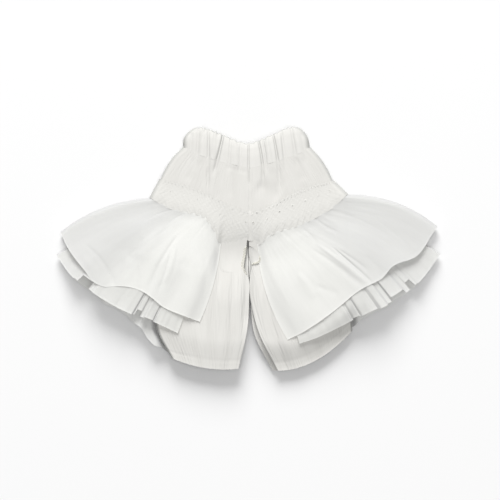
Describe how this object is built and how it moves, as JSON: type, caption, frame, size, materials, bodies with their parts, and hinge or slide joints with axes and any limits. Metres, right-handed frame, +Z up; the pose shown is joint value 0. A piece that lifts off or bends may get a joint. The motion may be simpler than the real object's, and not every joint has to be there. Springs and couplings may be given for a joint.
{
  "type": "doll's skort",
  "caption": "Doll's skort laid flat: gauze culotte legs, gathered elastic waist casing, lace hip band and layered organza ruffles open at the inner leg.",
  "frame": {"origin": "centre of the laid-out garment's box, at the surface that it rests on", "axes": "+X to the wearer's left along the widest spread of the ruffles, +Y toward the waist, +Z up through the front of the garment, which faces up"},
  "size_m": [0.154, 0.098, 0.0123],
  "materials": {
    "casing": "matt off-white crinkle gauze, doubled and gathered over elastic",
    "gauze": "matt off-white cotton gauze with a fine vertical crinkle",
    "lace": "matt off-white cotton lace trim with small eyelets and a scalloped edge",
    "organza_top": "sheer white organza with a soft sheen and a raw-cut hem",
    "organza_mid": "sheer white organza with a soft sheen, pleated, with a raw-cut hem"
  },
  "bodies": {
    "root": {"waistband": "casing", "front_left": "gauze", "front_right": "gauze", "back_left": "gauze", "back_right": "gauze", "lace_left": "lace", "lace_right": "lace", "ruffle_top_left": "organza_top", "ruffle_top_right": "organza_top", "ruffle_mid_left": "organza_mid", "ruffle_mid_right": "organza_mid"}
  },
  "joints": []
}
